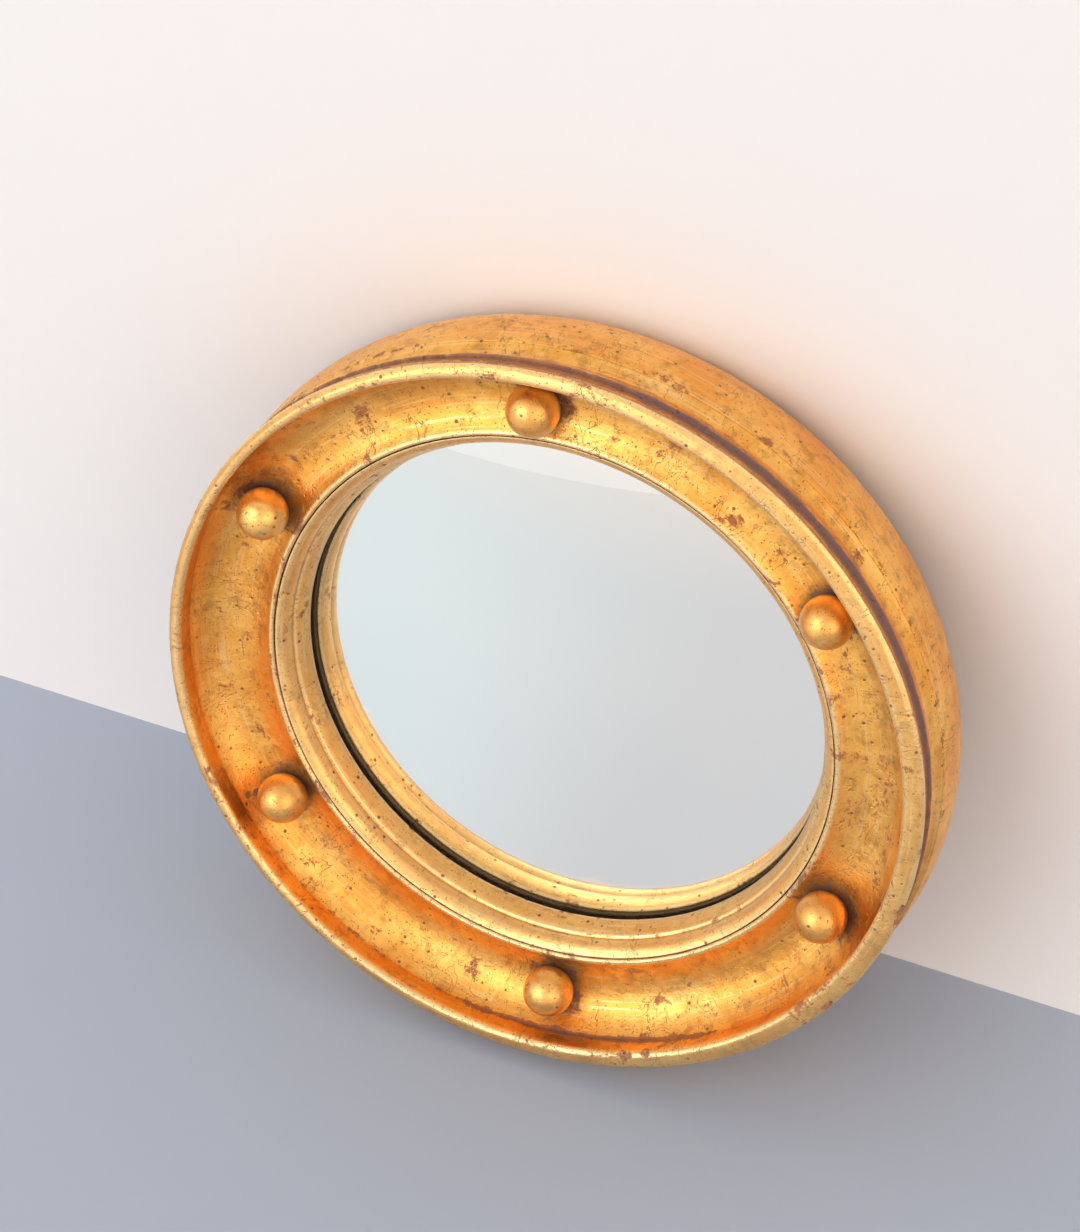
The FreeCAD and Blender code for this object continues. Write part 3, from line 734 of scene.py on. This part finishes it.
def new_group(name, inputs, outputs):
    """An empty node group with named sockets. Gives its tree, its inputs and its output node."""
    tree = bpy.data.node_groups.new(name, "ShaderNodeTree")
    for key, kind in inputs.items():
        tree.interface.new_socket(key, in_out="INPUT", socket_type=SOCKETS[kind])
    for key, kind in outputs.items():
        tree.interface.new_socket(key, in_out="OUTPUT", socket_type=SOCKETS[kind])
    return tree, tree.nodes.new("NodeGroupInput").outputs, tree.nodes.new("NodeGroupOutput").inputs


def place_group(tree, group, **inputs):
    """A group node in another tree, with its inputs fed by name. Gives its outputs."""
    node = tree.nodes.new("ShaderNodeGroup")
    node.node_tree = group
    for key, value in inputs.items():
        feed(tree, node.inputs[key], value)
    return node.outputs


# %% [markdown]
# ## Specks and hairlines
# Old surfaces carry small dark pits, and gesso cracks in hairlines. A speck is a Voronoi cell
# whose centre is near, with a size drawn per cell so that most cells stay empty. A hairline is
# the narrow band where a noise passes through one half.

# %% Groups for specks and hairlines
specks, given, give = new_group("specks", {"Place": "v", "Scale": "f", "Size": "f"}, {"Mask": "f"})
cell = specks.nodes.new("ShaderNodeTexVoronoi")
feed(specks, cell.inputs["Vector"], given["Place"])
feed(specks, cell.inputs["Scale"], given["Scale"])
chance = put(specks, "SeparateColor", Color=cell.outputs["Color"])
limit = times(specks, level(specks, chance, 0.55, 1.0), given["Size"])
within = sums(specks, "SUBTRACT", limit, cell.outputs["Distance"])
mask = sums(specks, "DIVIDE", within, 0.12, clamp=True)
feed(specks, give["Mask"], mask)

hairlines, given, give = new_group("hairlines", {"Place": "v", "Scale": "f", "Width": "f"}, {"Mask": "f"})
wander = cloud(hairlines, given["Place"], given["Scale"], 2.0, 0.5, 0.6)
off = sums(hairlines, "ABSOLUTE", sums(hairlines, "SUBTRACT", wander, 0.5))
mask = sums(hairlines, "SUBTRACT", 1.0, sums(hairlines, "DIVIDE", off, given["Width"]), clamp=True)
gap_scale = times(hairlines, given["Scale"], 0.37)
gaps = level(hairlines, cloud(hairlines, given["Place"], gap_scale), 0.48, 0.62)
feed(hairlines, give["Mask"], times(hairlines, mask, gaps))

# %% [markdown]
# ## Worn gilding
# Gold leaf lies on red clay and a grey-violet ground, and age shows them in a fixed order. Crests
# are burnished, and painted pale as a painted highlight. Old wax darkens the leaf in patches, and in
# spots it is worn through to red. Hollows are painted brown for dirt and painted shade. Round the
# balls the leaf is painted darker for dirt, violet ground and the balls' painted shade, and in the
# rubbed grooves the ground shows. Streaks and hairline cracks follow the turning. One group holds
# all this, and each gilded piece gives it its own marks and its own amounts.

# %% Group for worn gilding
LEAF = linear(251, 190, 94)
LEAF_DEEP = linear(238, 164, 66)
LEAF_PALE_AND_HIGHLIGHT = linear(255, 224, 166)
CLAY_RED = linear(148, 66, 28)
DIRT_AND_SHADE = linear(96, 58, 28)
OLD_WAX = linear(178, 122, 56)
GROUND_VIOLET_AND_SHADE = linear(116, 84, 78)
PIT = linear(52, 34, 24)

gilding, given, give = new_group(
    "worn_gilding",
    {"Place": "v", "Lay": "v", "Crest": "f", "Hollow": "f", "Halo": "f", "Rub": "f",
     "Shine": "f", "Wear": "f", "Pale": "f"},
    {"Color": "c", "Roughness": "f", "Metallic": "f", "Height": "f"})
place, lay = given["Place"], given["Lay"]
g = gilding
broad = cloud(g, place, 55, 3, 0.55)
close = cloud(g, place, 320, 5, 0.65)
ragged = cloud(g, place, 150, 8, 0.72, 0.4)
grain = cloud(g, place, 1500, 3, 0.6)
streak = cloud(g, stretch(g, lay, 3.5, 3.5, 160), 1.0, 4, 0.6)
# the leaf: deep and light tones, patches of old wax, paler streaks, and crests painted pale as a painted
# highlight
tone = mix(g, level(g, plus(g, times(g, broad, 0.6), times(g, close, 0.4)), 0.41, 0.59), LEAF_DEEP, LEAF)
patches = level(g, cloud(g, place, 210, 6, 0.7, 0.3), 0.49, 0.66)
waxed = sums(g, "MULTIPLY", patches, plus(g, 0.55, times(g, given["Hollow"], 0.5)), clamp=True)
tone = mix(g, waxed, tone, OLD_WAX)
# paler streaks are real; the crest share is a painted highlight
pale_and_highlight = sums(g, "ADD", times(g, level(g, streak, 0.5, 0.72), 0.45), times(g, given["Crest"], 0.75),
               clamp=True)
pale_and_highlight = sums(g, "ADD", pale_and_highlight, given["Pale"], clamp=True)
tone = mix(g, pale_and_highlight, tone, LEAF_PALE_AND_HIGHLIGHT)
# where the leaf is worn through to red: by the marks, in streaks and in broad areas
worn = plus(g, times(g, given["Crest"], 0.05), times(g, given["Hollow"], 0.13),
            times(g, given["Halo"], 0.10), times(g, given["Rub"], 0.42), given["Wear"],
            around(g, streak, 0.25), around(g, broad, 0.35))
red = level(g, plus(g, ragged, worn), 0.63, 0.72)
tone = mix(g, times(g, red, 0.8), tone, CLAY_RED)
# brown dirt and painted shade in hollows and round the balls, violet ground in rubbed lines, and violet
# ground with painted shade round the balls
dirt_and_shade = level(g, plus(g, times(g, given["Hollow"], 0.75), around(g, close, 1.1)), 0.12, 0.85)
# round the balls: dirt and painted shade of the ball
halo_dirt_and_shade = level(g, plus(g, given["Halo"], around(g, ragged, 1.6)), 0.35, 1.1)
dirt_and_shade = sums(g, "MAXIMUM", dirt_and_shade, halo_dirt_and_shade)
tone = mix(g, times(g, dirt_and_shade, 0.8), tone, DIRT_AND_SHADE)
violet = level(g, plus(g, given["Rub"], around(g, ragged, 1.3)), 0.52, 0.80)
# round the balls: violet ground and painted shade of the ball
violet_halo_and_shade = level(g, plus(g, given["Halo"], around(g, close, 2.2)), 0.60, 1.05)
violet = sums(g, "MAXIMUM", violet, violet_halo_and_shade)
tone = mix(g, times(g, violet, 0.85), tone, GROUND_VIOLET_AND_SHADE)
# pits, dust, cracks and scratches
pits = place_group(g, specks, Place=place, Scale=420.0, Size=0.27)["Mask"]
dust = place_group(g, specks, Place=place, Scale=1500.0, Size=0.36)["Mask"]
cracks = place_group(g, hairlines, Place=stretch(g, lay, 34, 34, 14), Scale=1.0, Width=0.012)["Mask"]
scratch = place_group(g, hairlines, Place=place, Scale=140.0, Width=0.008)["Mask"]
lines = sums(g, "MAXIMUM", cracks, times(g, scratch, 0.7))
dark = sums(g, "MAXIMUM", times(g, pits, 0.75), times(g, dust, 0.55))
dark = sums(g, "MAXIMUM", dark, times(g, lines, 0.6))
tone = mix(g, dark, tone, PIT)
feed(g, give["Color"], tone)
# bare places are matt and hardly metal, and everything dark lies a little deeper
bare = sums(g, "MAXIMUM", sums(g, "MAXIMUM", red, violet), times(g, dirt_and_shade, 0.8))
bare = sums(g, "MAXIMUM", bare, dark)
feed(g, give["Metallic"], blend(g, bare, 0.92, 0.12))
polish = plus(g, around(g, close, 0.25), given["Shine"])
polish = sums(g, "SUBTRACT", polish, times(g, given["Crest"], 0.06))
feed(g, give["Roughness"], blend(g, bare, polish, 0.62))
height = plus(g, times(g, close, 0.5), times(g, grain, 0.22), times(g, broad, 0.8))
height = sums(g, "SUBTRACT", height, times(g, red, 0.12))
height = sums(g, "SUBTRACT", height, times(g, dark, 0.5))
feed(g, give["Height"], height)
print("worn_gilding has", len(g.nodes), "nodes")

# %% [markdown]
# ## Wood grain
# The recess behind shows bare sealed wood, and the dowels are plain beech. Grain is a noise drawn
# out along X, with finer pores of the same direction.

# %% Group for wood grain
wood_grain, given, give = new_group("wood_grain", {"Place": "v", "Light": "c", "Dark": "c"},
                                    {"Color": "c", "Height": "f"})
t = wood_grain
rings = cloud(t, stretch(t, given["Place"], 9, 90, 90), 1.0, 4, 0.6, 1.2)
pores = cloud(t, stretch(t, given["Place"], 90, 1400, 1400), 1.0, 2, 0.5)
banded = mix(t, level(t, rings, 0.35, 0.65), given["Light"], given["Dark"])
feed(t, give["Color"], mix(t, times(t, level(t, pores, 0.52, 0.7), 0.5), banded, given["Dark"]))
feed(t, give["Height"], plus(t, times(t, rings, 0.3), times(t, pores, 0.7)))

# %% [markdown]
# ## Materials
# A material reads the marks of its piece, places the groups with its own amounts, and holds the
# shader itself. What is the same all over a piece, such as the strength of its coat, is written
# straight on the shader.

# %% Material makers


def new_material(name):
    """A material with only a Principled shader and its output. Gives it, its tree and shader."""
    material = bpy.data.materials.new(name)
    material.use_nodes = True
    return material, material.node_tree, material.node_tree.nodes["Principled BSDF"]


def centred_place(tree):
    """Object coordinates through a Mapping node, so that a pattern can be shifted on a piece."""
    return put(tree, "Mapping", Vector=put(tree, "TexCoord", out=3))


def marked(tree, name, vector=False):
    """A mark that the piece stores, as a number or as a vector."""
    node = tree.nodes.new("ShaderNodeAttribute")
    node.attribute_name = name
    return node.outputs["Vector" if vector else "Fac"]


def bumped(tree, shader, height, distance):
    """Tilts the shading by a height of so many metres."""
    feed(tree, shader.inputs["Normal"],
         put(tree, "Bump", Strength=1.0, Distance=distance, Height=height))


def gilded(name, shine, wear, pale, coat):
    """A gilded finish: worn_gilding fed with the piece's marks, under a thin coat of old wax."""
    material, tree, shader = new_material(name)
    outputs = place_group(tree, gilding, Place=centred_place(tree), Lay=marked(tree, "lay", True),
                          Crest=marked(tree, "crest"), Hollow=marked(tree, "hollow"),
                          Halo=marked(tree, "halo"), Rub=marked(tree, "rub"),
                          Shine=shine, Wear=wear, Pale=pale)
    shader.inputs["Coat Weight"].default_value = coat
    shader.inputs["Coat Roughness"].default_value = 0.38
    return material, tree, shader, outputs


def finish_gilded(material, tree, shader, outputs, bump):
    """Joins the gilding's outputs to the shader."""
    for key in ("Roughness", "Metallic"):
        feed(tree, shader.inputs[key], outputs[key])
    feed(tree, shader.inputs["Base Color"], outputs["Color"])
    bumped(tree, shader, outputs["Height"], bump)
    return material


# %% Gilded finishes
gilt_front = finish_gilded(*gilded("gilt_front", 0.34, 0.04, 0.0, 0.30), 0.00035)
gilt_slip = finish_gilded(*gilded("gilt_slip", 0.36, 0.0, 0.08, 0.30), 0.0003)
gilt_ball = finish_gilded(*gilded("gilt_ball", 0.34, -0.01, 0.16, 0.35), 0.0003)
front_moulding.data.materials.append(gilt_front)
sight_slip.data.materials.append(gilt_slip)
for ball in balls:
    ball.data.materials.append(gilt_ball)

material, tree, shader, outputs = gilded("gilt_roll", 0.45, -0.02, 0.0, 0.22)
back_wood = place_group(tree, wood_grain, Place=centred_place(tree), Light=linear(176, 138, 92),
                        Dark=linear(126, 88, 52))
edge = plus(tree, marked(tree, "bare"), around(tree, cloud(tree, centred_place(tree), 180, 4, 0.6), 0.8))
is_wood = level(tree, edge, 0.42, 0.6)
feed(tree, shader.inputs["Base Color"], mix(tree, is_wood, outputs["Color"], back_wood["Color"]))
feed(tree, shader.inputs["Roughness"], blend(tree, is_wood, outputs["Roughness"], 0.55))
feed(tree, shader.inputs["Metallic"], blend(tree, is_wood, outputs["Metallic"], 0.0))
bumped(tree, shader, blend(tree, is_wood, outputs["Height"], back_wood["Height"]), 0.00035)
back_ring.data.materials.append(material)

# %% [markdown]
# ## Glass and silvering
# Clear glass over a bright metal: the glass gives the thickness and the dark line at its edge, the
# metal the picture. The silvering's back is grey paint, told by the direction of its normal.

# %% Glass and silver
material, tree, shader = new_material("clear_glass")
haze = cloud(tree, centred_place(tree), 26, 4, 0.6)
feed(tree, shader.inputs["Base Color"], mix(tree, haze, linear(248, 251, 251), linear(252, 253, 252)))
shader.inputs["Roughness"].default_value = 0.0
shader.inputs["IOR"].default_value = 1.52
shader.inputs["Transmission Weight"].default_value = 1.0
glass.data.materials.append(material)

material, tree, shader = new_material("silvering")
shade = cloud(tree, centred_place(tree), 18, 3, 0.5)
facing = put(tree, "SeparateXYZ", out=1, Vector=put(tree, "NewGeometry", out=1))
is_back = level(tree, facing, 0.2, 0.4)
front_tone = mix(tree, shade, linear(251, 252, 252), linear(253, 253, 252))
paint = cloud(tree, centred_place(tree), 220, 5, 0.6)
back_tone = mix(tree, paint, linear(96, 98, 100), linear(120, 120, 118))
feed(tree, shader.inputs["Base Color"], mix(tree, is_back, front_tone, back_tone))
feed(tree, shader.inputs["Metallic"], blend(tree, is_back, 1.0, 0.0))
feed(tree, shader.inputs["Roughness"], blend(tree, is_back, 0.015, 0.6))
silver.data.materials.append(material)

# %% [markdown]
# ## Felt, cork, board, dowels and metal
# The hidden pieces keep their construction shapes and get their own finishes. Felt is a brown nap,
# cork is granules, hardboard is a smooth brown sheet with fibres, sheet brass is lacquered and
# brushed, and the hanger is dull brassed steel.

# %% Hidden finishes


def plain(name, low, high, scale, roughness, bump, metallic=0.0, drawn=(1, 1, 1)):
    """A finish of two tones: a noise mixes them, shifts the gloss and gives the relief."""
    material, tree, shader = new_material(name)
    place = stretch(tree, centred_place(tree), *drawn)
    noise = cloud(tree, place, scale, 4.0, 0.6)
    spots = place_group(tree, specks, Place=place, Scale=scale * 1.6, Size=0.3)["Mask"]
    tone = mix(tree, level(tree, noise, 0.32, 0.68), low, high)
    feed(tree, shader.inputs["Base Color"], mix(tree, times(tree, spots, 0.35), tone, low))
    feed(tree, shader.inputs["Roughness"], level(tree, noise, 0.3, 0.7, roughness - 0.06, roughness + 0.08))
    shader.inputs["Metallic"].default_value = metallic
    bumped(tree, shader, noise, bump)
    return material


felt = plain("brown_felt", linear(104, 84, 62), linear(136, 110, 82), 2400, 0.9, 0.0004)
cork = plain("cork_sheet", linear(124, 84, 50), linear(186, 142, 94), 900, 0.8, 0.0005)
board = plain("hardboard", linear(92, 62, 38), linear(124, 88, 56), 700, 0.6, 0.0002,
              drawn=(1, 1, 0.4))
brass = plain("sheet_brass", linear(176, 136, 70), linear(206, 168, 96), 160, 0.30, 0.0001, 1.0,
              drawn=(1, 1, 9))
steel = plain("brassed_steel", linear(150, 138, 112), linear(178, 166, 138), 420, 0.42, 0.0001, 1.0)

material, tree, shader = new_material("beech_dowel")
beech = place_group(tree, wood_grain, Place=centred_place(tree), Light=linear(212, 178, 132),
                    Dark=linear(184, 142, 96))
feed(tree, shader.inputs["Base Color"], beech["Color"])
feed(tree, shader.inputs["Roughness"], level(tree, beech["Height"], 0.3, 0.7, 0.5, 0.62))
bumped(tree, shader, beech["Height"], 0.0002)

finish_of = {"glass_seat_felt": felt, "packing_ring": cork, "backboard": board, "turn_button": brass,
             "hanger": steel, "ball_peg": material}
for name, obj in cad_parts.items():
    for beginning, hidden_finish in finish_of.items():
        if name.startswith(beginning):
            obj.data.materials.clear()
            obj.data.materials.append(hidden_finish)
            print(name, "->", hidden_finish.name)

# %% [markdown]
# ## The room, and the paint of floor and wall
# A mirror is only as good as what it shows. This one shows a pale room: cool towards the left,
# greyer in front, and warm above the horizon. One group works that tone out from a direction, and
# the world and the floor both use it for rays that come through glass, so no horizon shows. Gold
# shows the eye a white room. The light that falls on matt things is dimmer, also by way of the
# gold, so that shadows stay.

# %% The room's tone
WINDOW_GLINT = Vector((-0.56, -0.73, -0.40)).normalized()      # where the balls' highlights point
room_tone, given, give = new_group("room_tone", {"Direction": "v"}, {"Color": "c", "For Gold": "c"})
t = room_tone


def share_along(tree, vector, axis):
    """How far a vector points along an axis: their dot product."""
    node = tree.nodes.new("ShaderNodeVectorMath")
    node.operation = "DOT_PRODUCT"
    feed(tree, node.inputs[0], vector)
    node.inputs[1].default_value = tuple(axis)
    return node.outputs["Value"]


sideways = share_along(t, given["Direction"], along_foot)
upwards = share_along(t, given["Direction"], up)
tone = mix(t, level(t, sideways, -0.65, 0.1), linear(229, 236, 238), linear(217, 215, 217))
feed(t, give["Color"], mix(t, level(t, upwards, -0.14, 0.16), tone, linear(251, 236, 224)))
glint = share_along(t, given["Direction"], WINDOW_GLINT)
below = mix(t, level(t, glint, 0.35, 0.95), linear(206, 206, 208), linear(255, 250, 240))
feed(t, give["For Gold"], mix(t, level(t, upwards, -0.15, 0.1), below, linear(252, 247, 240)))

sky = bpy.data.worlds.new("sky")
sky.use_nodes = True
bpy.context.scene.world = sky
t = sky.node_tree
dim = t.nodes["Background"]
dim.inputs["Color"].default_value = linear(243, 244, 248)
dim.inputs["Strength"].default_value = 0.73
room = place_group(t, room_tone, Direction=put(t, "TexCoord"))
for_gold = put(t, "Background", Color=room["For Gold"])
for_glass = put(t, "Background", Color=room["Color"])
path = t.nodes.new("ShaderNodeLightPath")
to_gold, to_glass = t.nodes.new("ShaderNodeMixShader"), t.nodes.new("ShaderNodeMixShader")
first_hand = sums(t, "SUBTRACT", 1.0, path.outputs["Diffuse Depth"], clamp=True)
feed(t, to_gold.inputs[0], sums(t, "MAXIMUM", path.outputs["Is Camera Ray"],
                                times(t, path.outputs["Is Glossy Ray"], first_hand)))
feed(t, to_gold.inputs[1], dim.outputs[0])
feed(t, to_gold.inputs[2], for_gold)
feed(t, to_glass.inputs[0], path.outputs["Is Transmission Ray"])
feed(t, to_glass.inputs[1], to_gold.outputs[0])
feed(t, to_glass.inputs[2], for_glass)
feed(t, t.nodes["World Output"].inputs["Surface"], to_glass.outputs[0])

# %% [markdown]
# Floor and wall are matt paint from one side. From behind both let light and eye through, so that
# the back of the mirror can be looked at too.

# %% Floor and wall paint


def stage_paint(name, low, high):
    """Matt paint of two near tones; clear from behind; the room's tone for rays through glass.

    Seen from the object, the direction of a point of the floor is its place over its distance."""
    material, tree, shader = new_material(name)
    place = centred_place(tree)
    feed(tree, shader.inputs["Base Color"], mix(tree, cloud(tree, place, 3.0, 3), low, high))
    shader.inputs["Roughness"].default_value = 0.8
    shader.inputs["Specular IOR Level"].default_value = 0.2
    direction = tree.nodes.new("ShaderNodeVectorMath")
    direction.operation = "NORMALIZE"
    feed(tree, direction.inputs[0], place)
    distance = tree.nodes.new("ShaderNodeVectorMath")
    distance.operation = "LENGTH"
    feed(tree, distance.inputs[0], place)
    room = place_group(tree, room_tone, Direction=direction.outputs[0])
    for_glass = put(tree, "Emission", Color=room["Color"])
    for_gold = put(tree, "Emission", Color=room["For Gold"])
    clear = put(tree, "BsdfTransparent")
    path = tree.nodes.new("ShaderNodeLightPath")
    face = tree.nodes.new("ShaderNodeNewGeometry")
    far_off = level(tree, distance.outputs["Value"], 0.14, 0.40)
    shares = (times(tree, path.outputs["Is Glossy Ray"], far_off),
              path.outputs["Is Transmission Ray"], face.outputs["Backfacing"])
    surface = shader.outputs[0]
    for share, other in zip(shares, (for_gold, for_glass, clear)):
        blended = tree.nodes.new("ShaderNodeMixShader")
        for index, value in enumerate((share, surface, other)):
            feed(tree, blended.inputs[index], value)
        surface = blended.outputs[0]
    feed(tree, tree.nodes["Material Output"].inputs["Surface"], surface)
    return material


floor.data.materials.append(stage_paint("grey_floor", linear(177, 187, 202), linear(183, 193, 207)))
wall.data.materials.append(stage_paint("cream_wall", linear(248, 245, 242), linear(250, 247, 243)))
